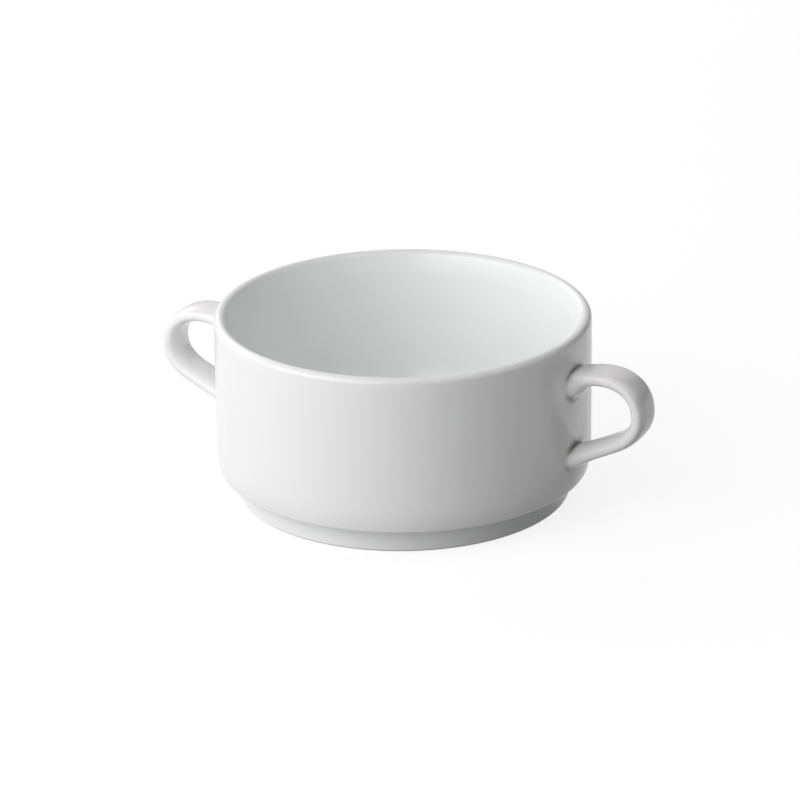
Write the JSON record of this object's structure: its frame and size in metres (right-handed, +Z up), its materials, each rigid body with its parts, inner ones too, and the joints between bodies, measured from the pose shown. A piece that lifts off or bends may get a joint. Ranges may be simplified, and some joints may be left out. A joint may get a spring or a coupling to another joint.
{
  "type": "lug soup bowl",
  "caption": "Straight-sided glazed porcelain soup bowl with opposite loop lugs, a full-round rim bevelled inside, and a stepped foot that nests in the rim of a like bowl.",
  "frame": {"origin": "centre of the foot ring's seat, on the table", "axes": "+Z up along the bowl's axis, the two lugs lie along X"},
  "size_m": [0.149, 0.105, 0.0525],
  "materials": {
    "white_glaze": "gloss",
    "foot_band": "gloss, with a bare ground seat",
    "slip_glaze": "gloss"
  },
  "bodies": {
    "root": {"bowl_body": "white_glaze", "foot_ring": "foot_band", "lug_left": "white_glaze", "lug_right": "white_glaze", "slip_left_upper": "slip_glaze", "slip_left_lower": "slip_glaze", "slip_right_upper": "slip_glaze", "slip_right_lower": "slip_glaze"}
  },
  "joints": []
}
